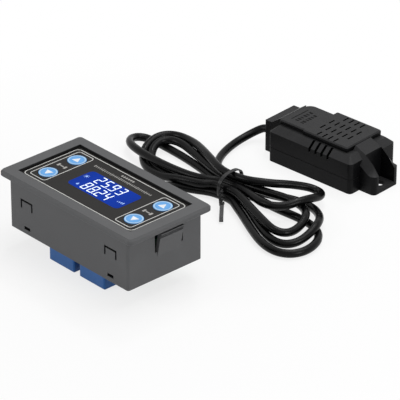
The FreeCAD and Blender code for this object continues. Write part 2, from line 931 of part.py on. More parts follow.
def ear_pocket():
    # Driver access: a square notch that runs out through the ear's end
    return block(probe_length + ear_pocket_wall, probe_length + ear_length + 1,
                 ear_middle() - ear_pocket_width / 2, ear_middle() + ear_pocket_width / 2,
                 ear_floor, grille_height + 1)


def ear():
    end = probe_length + ear_length
    outline = rounded_slab(probe_length - 2, end, ear_start, ear_start + ear_width, 0, grille_height,
                           [ear_corner, probe_join_round, probe_join_round, ear_corner])
    inside = block(probe_length - 3, probe_length, ear_start - 1, ear_start + ear_width + 1,
                   -1, grille_height + 1)
    hole = rod(end - ear_hole_inset, ear_middle(), -1, ear_floor + 1, ear_hole_diameter)
    return outline.cut([inside, ear_pocket(), hole] + hood_space())


def grommet_seat(diameter, length):
    return Part.makeCylinder(diameter / 2, length, Vector(-entry_length, grommet_v, probe_cable_height),
                             Vector(1, 0, 0))


def cable_way():
    # The lead's way through the case wall behind the grommet
    return Part.makeCylinder(cable_diameter / 2 + cable_way_clearance, probe_wall + 2,
                             Vector(-1, grommet_v, probe_cable_height), Vector(1, 0, 0))


def probe_bosses():
    along = probe_board_length / 2 - probe_boss_inset
    across = probe_board_width / 2 - probe_boss_inset
    return [(vent_centre_u + u, probe_width / 2 + v) for u in (-along, along) for v in (-across, across)]


def probe_base():
    shell = case_slab(0, 0, probe_split).cut(case_slab(probe_wall, probe_floor, probe_split + 1))
    parts = [entry_block(0, probe_split), ear()]
    for u, v in probe_bosses():
        parts.append(flat_sided_rod(u, v, probe_floor - fuse_overlap, probe_boss_height, probe_boss_size))
    cuts = [grommet_seat(grommet_diameter, grommet_length), cable_way(), ear_pocket()]
    return shell.fuse(parts).removeSplitter().cut(cuts)


def cover_crown():
    # The shoulder: the case outline drawn in towards the top
    low = case_slab(0, probe_side_height, probe_side_height + 0.01)
    high = case_slab(probe_shoulder, probe_top_height, probe_top_height + 0.01)
    bottom_wire = [face for face in low.Faces if abs(face.CenterOfMass.z - probe_side_height) < 1e-6][0]
    top_wire = [face for face in high.Faces if abs(face.CenterOfMass.z - probe_top_height) < 1e-6][0]
    return Part.makeLoft([bottom_wire.OuterWire, top_wire.OuterWire], True, True)


def entry_ramp():
    # From the cable entry's top up to the vented plate
    end = grille_left - panel_gap / 2
    top = grille_height - grille_edge
    profile = [(-entry_length, probe_split), (-entry_length, entry_height - entry_edge),
               (-entry_length + entry_edge, entry_height), (-entry_length + entry_flat, entry_height),
               (end - grille_edge, top), (end, top), (end, probe_split)]
    ramp = prism(profile, "y", entry_start, entry_start + entry_width)
    keep = rounded_slab(-entry_length, grille_left, entry_start, entry_start + entry_width,
                        probe_split - 1, grille_height + 1,
                        [entry_far_corner, entry_corner, entry_corner, probe_join_round])
    return ramp.common(keep)


def ear_ramp():
    # The hood's part on the cover, which falls on towards the ear
    start = grille_right + pedestal_inset
    return block(start, probe_length, ear_start, ear_start + ear_width,
                 probe_side_height - 2, grille_height).cut(hood_space())


def cover_pedestal():
    # Carries the wide part of the vented plate above the shoulder
    return block(grille_step + pedestal_inset, grille_right - pedestal_inset,
                 grille_wide[0] + pedestal_inset, grille_wide[1] - pedestal_inset,
                 probe_side_height, grille_height - grille_thickness)


def cover_side_vents():
    cuts = []
    low = probe_side_height - side_vent_drop
    for index in range(side_vent_count):
        u = side_vent_first + index * side_vent_pitch
        for v in (-1, probe_width + 1 - side_vent_depth):
            cuts.append(block(u - side_vent_width / 2, u + side_vent_width / 2, v, v + side_vent_depth,
                              low, low + side_vent_height))
    return cuts


def grille_seat(clearance):
    left, right, near, far = grille_skirt_insets
    return (grille_left + left - clearance, grille_right - right + clearance,
            grille_narrow[0] + near - clearance, grille_narrow[1] - far + clearance)


def probe_cover():
    seam_top = probe_split + probe_seam
    outer = case_slab(0, seam_top, probe_side_height)
    outer = outer.fuse([case_slab(probe_seam, probe_split, seam_top), cover_crown(), entry_ramp(),
                        ear_ramp(), cover_pedestal()])
    inner = case_slab(probe_wall, probe_split - 1, probe_side_height - probe_roof_drop)
    seat = block(*grille_seat(0), probe_side_height - 2, grille_height + 1)
    cuts = [inner, seat, cable_way(), grommet_seat(grommet_diameter, grommet_length), ear_pocket()]
    return outer.removeSplitter().cut(cuts + cover_side_vents())


def probe_grille():
    # A stepped plate with rows of vents, on a skirt that seats in the cover's top
    low = grille_height - grille_thickness
    far, near = grille_left_corners
    narrow = rounded_slab(grille_left, grille_step + 2, *grille_narrow, low, grille_height,
                          [probe_join_round, far, near, probe_join_round])
    wide = rounded_slab(grille_step, grille_right, *grille_wide, low, grille_height,
                        [grille_right_corner] * 4)
    plate = narrow.fuse(wide).removeSplitter()
    plate = plate.makeChamfer(grille_edge, edges_at(plate, grille_height))
    skirt_low = probe_side_height - probe_roof_drop
    skirt = block(*grille_seat(-grille_skirt_clearance), skirt_low, low + fuse_overlap)
    hollow = block(*grille_seat(-grille_skirt_wall), skirt_low - 1, low)
    vents = []
    for line, count in enumerate(vent_rows):
        v = vent_centre_v + (line - 1.5) * vent_row_pitch
        for u in row(count, vent_pitch):
            vents.append(centred_block(vent_centre_u + u, v, vent_width, vent_length, low - 1,
                                       grille_height + 1))
    return plate.fuse(skirt.cut(hollow)).removeSplitter().cut(vents)


def probe_board():
    return centred_slab(vent_centre_u, probe_width / 2, probe_board_length, probe_board_width,
                        probe_boss_height, probe_boss_height + probe_board_thickness, board_corner)


def sensor_element():
    u = vent_centre_u + sensor_offset_u
    low = probe_boss_height + probe_board_thickness
    top = low + sensor_height
    body = centred_block(u, probe_width / 2, sensor_length, sensor_width, low, top)
    return body.cut(flat_sided_rod(u, probe_width / 2, top - sensor_port_depth, top + 1, sensor_port))


def probe_grommet():
    collar = grommet_seat(grommet_diameter - 2 * grommet_clearance, grommet_length - grommet_clearance)
    sleeve = Part.makeCylinder(cable_diameter / 2 + grommet_wall, grommet_proud + 1,
                               Vector(-entry_length - grommet_proud, grommet_v, probe_cable_height),
                               Vector(1, 0, 0))
    return collar.fuse(sleeve).removeSplitter()


# Lead, hank and tie

def rounded_path(points):
    # Straight runs joined by tangent arcs, each as large as its two runs allow
    edges = []
    radii = []
    start = points[0]
    for before, corner, after in zip(points, points[1:], points[2:]):
        back = before - corner
        ahead = after - corner
        reach = 0.45 * min(back.Length, ahead.Length)
        half_turn = (math.pi - back.getAngle(ahead)) / 2
        radius = reach / math.tan(half_turn)
        back.normalize()
        ahead.normalize()
        inward = (back + ahead).normalize()
        enter = corner + back * reach
        leave = corner + ahead * reach
        middle = corner + inward * (math.hypot(reach, radius) - radius)
        edges.append(Part.LineSegment(start, enter).toShape())
        edges.append(Part.Arc(enter, middle, leave).toShape())
        radii.append(round(radius, 1))
        start = leave
    edges.append(Part.LineSegment(start, points[-1]).toShape())
    return Part.Wire(edges), radii


def tube(name, points):
    path, radii = rounded_path(points)
    ahead = points[1] - points[0]
    across = ahead.cross(Vector(0, 0, 1)).normalize() * (cable_diameter / 2)
    corners = []
    for index in range(lead_sides + 1):
        turn = FreeCAD.Rotation(ahead, 360 * index / lead_sides)
        corners.append(points[0] + turn.multVec(across))
    solid = path.makePipeShell([Part.makePolygon(corners)], True, True)
    expected = math.pi * cable_diameter ** 2 / 4 * path.Length
    print(name, "radii", radii, "length", round(path.Length, 1), "volume", round(solid.Volume / expected, 4))
    return solid


def controller_lead_route():
    # Out of the plug, down to the floor behind the case and on to the hank
    start = plug_end()
    return [start, start + Vector(0, lead_straight_at_plug, 0), Vector(-22.0, 42.0, floor_z + 6.4),
            Vector(-26.0, 50.2, cable_floor_z), Vector(-29.0, 57.6, cable_floor_z)]


def probe_lead_route():
    # Out of the probe's grommet, down to the floor and back to the hank
    start = probe_point(-entry_length - grommet_proud, grommet_v, probe_cable_height)
    ahead = probe_point(-entry_length - grommet_proud - lead_straight_at_probe, grommet_v, probe_cable_height)
    return [start, ahead, Vector(-35.4, 110.6, floor_z + 3.4),
            Vector(-36.0, 102.8, cable_floor_z), Vector(-32.8, 91.6, cable_floor_z)]


def loop_pad(centre, size):
    # The outer shape of one end's loops, rounded like the lead that lies in them
    radius = size[1] / 2 - loop_squareness
    pad = centred_slab(*centre, *size, floor_z, floor_z + hank_height, radius)
    return pad.makeChamfer(hank_edge, edges_at(pad, floor_z + hank_height))


def waist(grow, length):
    # The tied middle of the hank, lying along its own turned axis
    half = waist_width / 2 + grow
    low = tie_thickness - grow
    high = waist_height + grow
    edge = waist_edge + grow / 2
    section = [(half - edge, low), (half, low + edge), (half, high - edge), (half - edge, high),
               (edge - half, high), (-half, high - edge), (-half, low + edge), (edge - half, low)]
    return prism(section, "x", -length / 2, length / 2)


def place_waist(shape):
    placed = shape.copy()
    turn = FreeCAD.Placement(Vector(waist_centre[0], waist_centre[1], floor_z),
                             FreeCAD.Rotation(Vector(0, 0, 1), waist_turn))
    placed.Placement = turn.multiply(shape.Placement)
    return placed


def tie_tail():
    # The strap's free end, from under the bundle out along the floor
    turn = math.radians(waist_turn)
    side = waist_width / 2 - waist_edge
    start = Vector(waist_centre[0] + side * math.sin(turn), waist_centre[1] - side * math.cos(turn), floor_z)
    run = Vector(tie_tail_end[0], tie_tail_end[1], floor_z) - start
    tail = Part.makeBox(run.Length, tie_width, tie_thickness, Vector(0, -tie_width / 2, 0))
    heading = math.degrees(math.atan2(run.y, run.x))
    tail.Placement = FreeCAD.Placement(start, FreeCAD.Rotation(Vector(0, 0, 1), heading))
    return tail


def cable_tie():
    band = place_waist(waist(tie_thickness, tie_width)).cut(place_waist(waist(0, waist_length)))
    return band.fuse(tie_tail()).removeSplitter()


def landing(points):
    # Room for a tube's last stretch, so that its end meets a flat face of the hank
    end = points[-1]
    back = (points[-2] - end).normalize()
    room = Part.makeBox(24, 2 * hank_height, 2 * hank_height + 10, Vector(-12, -hank_height, 0))
    room.Placement = FreeCAD.Placement(end, FreeCAD.Rotation(Vector(0, 0, 1), back))
    return room


def cable_hank():
    loops = [loop_pad(left_loop_centre, left_loop_size), loop_pad(right_loop_centre, right_loop_size)]
    body = place_waist(waist(0, waist_length)).fuse(loops).removeSplitter()
    return body.cut([tie_tail(), landing(controller_lead_route()), landing(probe_lead_route())])


# Build

os.makedirs("parts", exist_ok=True)
export("housing", housing())
export("front_plate", front_plate())
export("front_film", front_film())
for place, (key_x, key_y) in key_places.items():
    export("key_" + place, key_cap(key_x, key_y))
    export("plunger_" + place, plunger(key_x, key_y))
    export("switch_" + place, tact_switch(key_x, key_y))
export("display_board", display_board())
export("lcd_glass", lcd_glass())
export("lcd_backlight", lcd_backlight())
export("lcd_pins", Part.makeCompound(lcd_pins()))
export("controller_chip", controller_chip())
export("header_socket", header_body(display_rear_z - header_socket_height, display_rear_z))
export("header_strip", header_body(power_front_z, display_rear_z - header_socket_height))
export("header_pins", Part.makeCompound(header_pins()))
export("board_spacers", Part.makeCompound(board_spacers()))
export("power_board", power_board())
export("relay_1", relay(relay_left_x))
export("relay_2", relay(relay_right_x))
export("relay_pins", Part.makeCompound(relay_pins()))
export("capacitors", Part.makeCompound(capacitors()))
export("transistors", Part.makeCompound(transistors()))
export("diodes", Part.makeCompound(diodes()))
export("regulator", regulator())
export("terminal_block", terminal_block())
export("terminal_clamps", Part.makeCompound(terminal_clamps()))
export("terminal_screws", Part.makeCompound(terminal_screws()))
export("sensor_socket", sensor_socket())
export("sensor_socket_pins", Part.makeCompound(sensor_socket_pins()))
export("sensor_plug", sensor_plug())
export("probe_base", place_probe(probe_base()))
export("probe_cover", place_probe(probe_cover()))
export("probe_grille", place_probe(probe_grille()))
export("probe_board", place_probe(probe_board()))
export("sensor_element", place_probe(sensor_element()))
export("probe_grommet", place_probe(probe_grommet()))
export("cable_lead", tube("cable_lead", controller_lead_route()))
export("cable_probe_lead", tube("cable_probe_lead", probe_lead_route()))
export("cable_hank", cable_hank())
export("cable_tie", cable_tie())
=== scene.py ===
import math
import bmesh
import bpy
from mathutils import Matrix, Vector


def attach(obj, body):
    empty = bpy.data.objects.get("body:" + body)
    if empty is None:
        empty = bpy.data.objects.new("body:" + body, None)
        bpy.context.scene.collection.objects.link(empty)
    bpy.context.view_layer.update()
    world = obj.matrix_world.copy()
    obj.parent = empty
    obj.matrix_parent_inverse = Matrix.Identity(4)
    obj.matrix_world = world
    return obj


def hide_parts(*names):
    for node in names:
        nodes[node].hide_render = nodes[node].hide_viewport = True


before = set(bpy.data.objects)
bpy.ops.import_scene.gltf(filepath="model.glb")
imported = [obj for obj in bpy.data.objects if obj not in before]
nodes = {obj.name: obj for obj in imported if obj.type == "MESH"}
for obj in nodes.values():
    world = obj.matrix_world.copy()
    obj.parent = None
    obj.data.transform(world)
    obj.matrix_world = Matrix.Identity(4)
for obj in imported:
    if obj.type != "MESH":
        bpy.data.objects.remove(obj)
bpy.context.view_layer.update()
mm = 0.001
floorZ = -0.0302
# each key's place in millimetres, and which way its arrow points
keySpots = {"left_up": (-25.7, 7.7, 1), "left_down": (-25.7, -7.3, -1),
            "right_up": (25.7, 7.7, 1), "right_down": (25.7, -7.3, -1)}
print("frame loaded")


def onFloor(x, y, height):
    return Vector((x * mm, y * mm, floorZ + height * mm))


# Camera

view = {"azimuth": 47.53, "elevation": 28.89, "eye": (0.85996, -0.73635, 0.62096),
        "lens": 295.4, "sensor": 36}
cameraData = bpy.data.cameras.new("photoCamera")
cameraData.lens = view["lens"]
cameraData.sensor_width = view["sensor"]
camera = bpy.data.objects.new("photoCamera", cameraData)
camera.location = view["eye"]
camera.rotation_euler = (math.radians(90 - view["elevation"]), 0, math.radians(view["azimuth"]))
bpy.context.collection.objects.link(camera)
bpy.context.scene.camera = camera


# Shader helpers

class Signal:  # a socket that Python operators can build on
    def __init__(self, graph, socket):
        self.graph = graph
        self.socket = socket

    def math(self, operation, first, second=0.0):
        return self.graph.node("ShaderNodeMath", {"operation": operation}, {0: first, 1: second})

    def __add__(self, other):
        return self.math("ADD", self, other)

    def __radd__(self, other):
        return self.math("ADD", other, self)

    def __sub__(self, other):
        return self.math("SUBTRACT", self, other)

    def __rsub__(self, other):
        return self.math("SUBTRACT", other, self)

    def __mul__(self, other):
        return self.math("MULTIPLY", self, other)

    def __rmul__(self, other):
        return self.math("MULTIPLY", other, self)

    def __truediv__(self, other):
        return self.math("DIVIDE", self, other)

    def __lt__(self, other):
        return self.math("LESS_THAN", self, other)

    def __gt__(self, other):
        return self.math("GREATER_THAN", self, other)

    def __abs__(self):
        return self.math("ABSOLUTE", self)

    def sine(self):
        return self.math("SINE", self)

    def clamped(self):
        return self.graph.node("ShaderNodeClamp", {}, {"Value": self})


class Graph:  # the nodes of one material or world
    def __init__(self, owner):
        owner.use_nodes = True
        self.tree = owner.node_tree
        self.tree.nodes.clear()

    def add(self, kind, settings, inputs):
        made = self.tree.nodes.new(kind)
        for key, value in settings.items():
            setattr(made, key, value)
        for key, value in inputs.items():
            self.feed(made.inputs[key], value)
        return made

    def node(self, kind, settings, inputs, output=0):
        return Signal(self, self.add(kind, settings, inputs).outputs[output])

    def feed(self, socket, value):
        if isinstance(value, Signal):
            self.tree.links.new(value.socket, socket)
        elif isinstance(value, tuple) and len(value) == 3 and socket.type == "RGBA":
            socket.default_value = (*value, 1)
        else:
            socket.default_value = value

    def seen(self):  # 1 for what the camera sees straight, mirrored or through glass
        rays = self.add("ShaderNodeLightPath", {}, {})
        straight, mirrored, through = [Signal(self, rays.outputs[name]) for name in
                                   ("Is Camera Ray", "Is Glossy Ray", "Is Transmission Ray")]
        return (straight + mirrored + through).clamped()


class Finish(Graph):  # one material with its own small graph
    def __init__(self, name):
        self.material = bpy.data.materials.new(name)
        super().__init__(self.material)
        self.shader = self.add("ShaderNodeBsdfPrincipled", {}, {})
        self.body = Signal(self, self.shader.outputs[0])
        self.output = self.add("ShaderNodeOutputMaterial", {}, {"Surface": self.body})

    def set(self, **values):
        names = {"colour": "Base Color", "rough": "Roughness", "metal": "Metallic",
                 "specular": "Specular IOR Level", "glow": "Emission Color",
                 "glowStrength": "Emission Strength", "normal": "Normal"}
        for key, value in values.items():
            self.feed(self.shader.inputs[names[key]], value)
        return self.material

    def coords(self, kind="Object"):
        return self.node("ShaderNodeTexCoord", {}, {}, kind)

    def axes(self, vector):
        parts = self.add("ShaderNodeSeparateXYZ", {}, {0: vector})
        return [Signal(self, output) for output in parts.outputs]

    def place(self):  # object coordinates in millimetres, one signal per axis
        return [axis * 1000.0 for axis in self.axes(self.coords())]

    def facing(self):  # how far a face looks up, from its own normal
        return self.axes(self.coords("Normal"))[2]

    def noise(self, perMetre, detail=3.0, roughness=0.55):
        return self.node("ShaderNodeTexNoise", {}, {"Vector": self.coords(), "Scale": perMetre,
                                                    "Detail": detail, "Roughness": roughness})

    def cells(self, perMetre):
        return self.node("ShaderNodeTexVoronoi", {"feature": "F1"},
                         {"Vector": self.coords(), "Scale": perMetre})

    def blend(self, amount, first, second):
        return self.node("ShaderNodeMix", {"data_type": "RGBA"},
                         {0: amount, 6: first, 7: second}, 2)

    def bump(self, height, distance):
        return self.node("ShaderNodeBump", {},
                         {"Height": height, "Distance": distance, "Strength": 1.0})


def shade(colour, factor):
    return tuple(min(1.0, c * factor) for c in colour)


# Finishes

def mouldedFinish(name, look):
    # moulded plastic: a fine spark-eroded grain, a soft flow pattern and a few rubbed places
    graph = Finish(name)
    tone = look["colour"]
    grain = graph.noise(look["grain"], 2.0, 0.6)
    flow = graph.noise(look["flow"], 3.0, 0.5)
    rubbed = ((flow - 0.55) * 3.0).clamped()
    varied = look["variation"]
    colour = graph.blend(flow, shade(tone, 1 - varied), shade(tone, 1 + varied))
    colour = graph.blend(rubbed * look["wear"], colour, shade(tone, 1.35))
    height = grain + graph.cells(look["grain"] * 0.6) * 0.5
    if "shaded" in look:
        # the walls of the window round the film and of the snaps' slots lie in shade
        window, slots = look["shaded"]["window"], look["shaded"]["slots"]
        x, y, z = graph.place()
        inWindow = (abs(x) < window["halfLong"]) * (abs(y) < window["halfWide"])
        inWindow = inWindow * (z < window["top"])
        inSlots = (abs(abs(x) - slots["middle"]) < slots["half"]) * (abs(y) < slots["reach"])
        inSlots = inSlots * (z < slots["top"]) * (z > slots["bottom"])
        colour = graph.blend((inWindow + inSlots).clamped(), colour, shade(tone, 0.06))
    if "paintedTopLight" in look:
        # painted top light: the faces that look up are painted lighter, as if lit from above,
        # broken up by noise; none on the vents' walls
        dustAndTopLight = ((graph.facing() - 0.25) * 2.0).clamped() * (graph.noise(220.0) * 0.5 + 0.75)
        colour = graph.blend(dustAndTopLight.clamped(), colour, look["paintedTopLight"])
    return graph.set(colour=colour, rough=look["rough"] + (grain - 0.5) * 0.16 - rubbed * 0.05,
                     normal=graph.bump(height, look["depth"]), specular=look["specular"])


moulded = {
    "housing": {
        "colour": (0.082, 0.083, 0.086), "rough": 0.52, "specular": 0.35, "wear": 0.25,
        "grain": 3600.0, "flow": 70.0, "variation": 0.05, "depth": 0.00003,
        "shaded": {
            "window": {"halfLong": 33.8, "halfWide": 16.35, "top": 2.35},
            "slots": {"middle": 25.2, "half": 3.75, "reach": 18.95, "top": -1.0, "bottom": -22.0},
        },
    },
    "blackPlastic": {
        "colour": (0.012, 0.012, 0.013), "rough": 0.5, "specular": 0.22, "wear": 0.3,
        "grain": 3000.0, "flow": 90.0, "variation": 0.1, "depth": 0.00003,
    },
    "probePlastic": {
        "colour": (0.0030, 0.0030, 0.0034), "rough": 0.42, "specular": 0.10, "wear": 0.5,
        "grain": 2600.0, "flow": 60.0, "variation": 0.12, "depth": 0.00004,
        # painted top light: the lighter colour painted on the probe's upward faces
        "paintedTopLight": (0.030, 0.030, 0.031),
    },
    "whitePlastic": {
        "colour": (0.78, 0.77, 0.72), "rough": 0.42, "specular": 0.5, "wear": 0.15,
        "grain": 2500.0, "flow": 80.0, "variation": 0.04, "depth": 0.00002,
    },
    "relayPlastic": {
        "colour": (0.018, 0.110, 0.345), "rough": 0.36, "specular": 0.3, "wear": 0.2,
        "grain": 2200.0, "flow": 110.0, "variation": 0.06, "depth": 0.000015,
    },
    "terminalPlastic": {
        "colour": (0.030, 0.230, 0.085), "rough": 0.42, "specular": 0.5, "wear": 0.2,
        "grain": 2400.0, "flow": 90.0, "variation": 0.06, "depth": 0.00002,
    },
}


def filmFinish():
    graph = Finish("printedFilm")
    weave = graph.noise(5200.0, 2.0)
    cloud = graph.noise(45.0, 2.0)
    colour = graph.blend(cloud, (0.0150, 0.0140, 0.0132), (0.0190, 0.0178, 0.0170))
    return graph.set(colour=colour, rough=0.40 + (weave - 0.5) * 0.12,
                     normal=graph.bump(weave, 0.000012), specular=0.10)


display = {"middle": 0.3, "even": 9.0, "fall": 7.0,
           "lit": (0.0002, 0.022, 0.235), "edge": (0.0004, 0.017, 0.170)}


def displayFinish():
    # the lit cell: even blue that falls off a little at the ends, under smooth glass
    graph = Finish("displayCell")
    x, y, z = graph.place()
    edge = ((abs(x - display["middle"]) - display["even"]) / display["fall"]).clamped()
    cloud = graph.noise(120.0, 1.0)
    lit = graph.blend(edge * 0.6 + (cloud - 0.5) * 0.2, display["lit"], display["edge"])
    return graph.set(colour=lit, glow=lit, glowStrength=0.62, rough=0.20, specular=0.03)


def boardFinish():
    # solder resist over a mesh of tracks
    graph = Finish("circuitBoard")
    cells = graph.cells(420.0)
    lines = graph.node("ShaderNodeTexWave", {"wave_type": "BANDS", "bands_direction": "DIAGONAL"},
                       {"Vector": graph.coords(), "Scale": 190.0, "Distortion": 3.0,
                        "Detail": 1.0}, 1)
    copper = ((lines - 0.62) * 9.0).clamped()
    colour = graph.blend(copper * 0.75, (0.010, 0.085, 0.030), (0.030, 0.170, 0.060))
    speck = graph.noise(900.0, 2.0)
    return graph.set(colour=colour, rough=0.30 + cells * 0.08 + speck * 0.05,
                     normal=graph.bump(copper + speck * 0.1, 0.00004), specular=0.5)


def metalFinish(name, colour, rough, grain):
    graph = Finish(name)
    smear = graph.noise(grain, 4.0)
    streak = graph.noise(grain * 6.0, 2.0)
    tone = graph.blend(smear, shade(colour, 0.82), shade(colour, 1.1))
    return graph.set(colour=tone, metal=1.0, rough=rough + (streak - 0.5) * 0.18,
                     normal=graph.bump(streak, 0.00002))


sleeve = {"stripeEdge": -27.4, "middle": -18.0, "stripeHalf": 2.6, "ventEnd": -21.6}


def sleeveFinish():
    # a shrink sleeve with the pale stripe of the negative side, and the bare vent end below
    graph = Finish("capacitorSleeve")
    x, y, z = graph.place()
    stripe = (x < sleeve["stripeEdge"]) * (abs(z - sleeve["middle"]) < sleeve["stripeHalf"])
    end = z < sleeve["ventEnd"]
    speck = graph.noise(900.0, 2.0)
    colour = graph.blend(stripe, (0.012, 0.013, 0.022), (0.42, 0.42, 0.44))
    colour = graph.blend(end, colour, (0.62, 0.62, 0.60))
    return graph.set(colour=colour, metal=end, rough=0.28 + speck * 0.12,
                     normal=graph.bump(speck, 0.00002))


def sheathFinish():
    # soft smooth sheath with fine grain and dusty patches
    graph = Finish("leadSheath")
    fine = graph.noise(1400.0)
    dustAndTopLight = graph.noise(55.0)
    patches = ((dustAndTopLight - 0.45) * 2.5).clamped() * 0.5
    colour = graph.blend(patches, (0.0022, 0.0022, 0.0025), (0.0060, 0.0060, 0.0064))
    return graph.set(colour=colour, rough=0.27 + (fine - 0.5) * 0.12 + (dustAndTopLight - 0.5) * 0.10,
                     normal=graph.bump(fine, 0.00004), specular=0.14)


def tieFinish():
    graph = Finish("tieStrap")
    x, y, z = graph.place()
    ribs = (x * 7.0 + y * 3.0).sine() * 0.5 + 0.5
    speck = graph.noise(1600.0, 2.0)
    colour = graph.blend(speck, (0.005, 0.005, 0.0055), (0.012, 0.012, 0.013))
    return graph.set(colour=colour, rough=0.34 + speck * 0.1,
                     normal=graph.bump(ribs * 0.4 + speck, 0.00005), specular=0.35)


def keyFinish():
    # a printed cap: a bright blue field, deeper towards its rim
    graph = Finish("keyCap")
    x, y, z = graph.place()
    keyX, upperY, way = keySpots["right_up"]
    lowerY = keySpots["right_down"][1]
    across = abs(x) - keyX
    along = y - ((y > 0.2) * (upperY - lowerY) + lowerY)
    fromMiddle = (across * across + along * along) / 15.2
    speck = graph.noise(2600.0, 2.0)
    field = graph.blend(fromMiddle.clamped(), (0.125, 0.400, 0.830), (0.075, 0.300, 0.690))
    colour = graph.blend(speck * 0.2, field, (0.20, 0.50, 0.88))
    return graph.set(colour=colour, rough=0.38 + (speck - 0.5) * 0.15,
                     normal=graph.bump(speck, 0.00001), specular=0.4)


def printFinish(name, look):
    graph = Finish(name)
    speck = graph.noise(2600.0, 2.0)
    worn = graph.noise(320.0, 2.0)
    tone = graph.blend(((worn - 0.35) * 3.0).clamped(), shade(look["colour"], 0.88), look["colour"])
    graph.set(colour=tone, rough=0.42 + (speck - 0.5) * 0.2, normal=graph.bump(speck, 0.000008),
              specular=look.get("specular", 0.5))
    if "glow" in look:
        graph.set(glow=tone, glowStrength=look["glow"])
    return graph.material


printed = {
    "printGrey": {"colour": (0.74, 0.74, 0.71)},
    "printDim": {"colour": (0.40, 0.39, 0.37)},
    "printDark": {"colour": (0.0015, 0.0015, 0.0016), "specular": 0.05},
    "printRing": {"colour": (0.42, 0.64, 0.88)},
    "printWhite": {"colour": (0.90, 0.92, 0.95)},
    "displayDigit": {"colour": (0.80, 0.90, 1.0), "glow": 0.55},
    "displayDim": {"colour": (0.30, 0.48, 0.88), "glow": 0.35},
}
materials = {name: mouldedFinish(name, look) for name, look in moulded.items()}
materials.update({name: printFinish(name, look) for name, look in printed.items()})
materials.update({
    "film": filmFinish(), "display": displayFinish(), "board": boardFinish(),
    "sleeve": sleeveFinish(), "sheath": sheathFinish(), "tie": tieFinish(), "key": keyFinish(),
    "tinned": metalFinish("tinnedMetal", (0.74, 0.74, 0.71), 0.34, 260.0),
    "screw": metalFinish("screwSteel", (0.64, 0.64, 0.66), 0.28, 320.0),
})
print("materials made")


# Packed nodes get their finishes

dressing = {
    "housing": ["housing"],
    "film": ["front_film"],
    "display": ["lcd_glass"],
    "board": ["display_board", "power_board", "probe_board"],
    "blackPlastic": ["front_plate", "controller_chip", "header_socket", "header_strip",
                     "transistors", "diodes", "regulator"],
    "whitePlastic": ["lcd_backlight", "board_spacers", "sensor_socket", "sensor_plug",
                     "sensor_element"],
    "tinned": ["lcd_pins", "header_pins", "relay_pins", "terminal_clamps", "sensor_socket_pins"],
    "relayPlastic": ["relay_1", "relay_2"],
    "sleeve": ["capacitors"],
    "terminalPlastic": ["terminal_block"],
    "screw": ["terminal_screws"],
    "probePlastic": ["probe_base", "probe_cover", "probe_grille"],
    "sheath": ["probe_grommet", "cable_lead", "cable_probe_lead", "cable_hank"],
    "tie": ["cable_tie"],
    "key": ["key_" + spot for spot in keySpots],
}
dressing["blackPlastic"] += [part + spot for spot in keySpots for part in ("plunger_", "switch_")]
for finish, names in dressing.items():
    for node in (nodes[name] for name in names):
        if not node.material_slots:
            node.data.materials.append(materials[finish])
        for slot in node.material_slots:
            slot.material = materials[finish]
print("nodes dressed")


# Flat and swept shapes

def pieceFrom(name, bm, finish, body="root"):
    mesh = bpy.data.meshes.new(name)
    bm.to_mesh(mesh)
    bm.free()
    mesh.materials.append(materials[finish])
    piece = bpy.data.objects.new(name, mesh)
    bpy.context.collection.objects.link(piece)
    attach(piece, body)
    return piece


def at(x, y, z, turn=0.0):
    return Matrix.Translation((x * mm, y * mm, z * mm)) @ Matrix.Rotation(turn, 4, "Z")


def facesOf(verts):
    return list({face for vert in verts for face in vert.link_faces})


def flat(bm, x, y, z, length, width, turn=0.0, corner=0.0, segments=5):
    # one flat printed shape, with its corners rounded; all in millimetres
    place = at(x, y, z, turn) @ Matrix.Diagonal((length * mm, width * mm, 1, 1))
    made = bmesh.ops.create_grid(bm, x_segments=1, y_segments=1, size=0.5, matrix=place)
    verts = made["verts"]
    if corner:
        cut = bmesh.ops.bevel(bm, geom=verts, offset=corner * mm, offset_type="OFFSET",
                              segments=segments, profile=0.5, affect="VERTICES", material=-1)
        verts = cut["verts"]
    return facesOf(verts)


def disc(bm, x, y, z, radius, segments, turn=0.0):
    made = bmesh.ops.create_circle(bm, cap_ends=True, segments=segments, radius=radius * mm,
                                   matrix=at(x, y, z, turn))
    return facesOf(made["verts"])


def hollowed(bm, faces, line):
    # keeps only a line of that width round the shape
    bmesh.ops.inset_region(bm, faces=faces, thickness=line * mm, use_even_offset=True,
                           use_boundary=True)
    bmesh.ops.delete(bm, geom=faces, context="FACES")


# Cord and tie

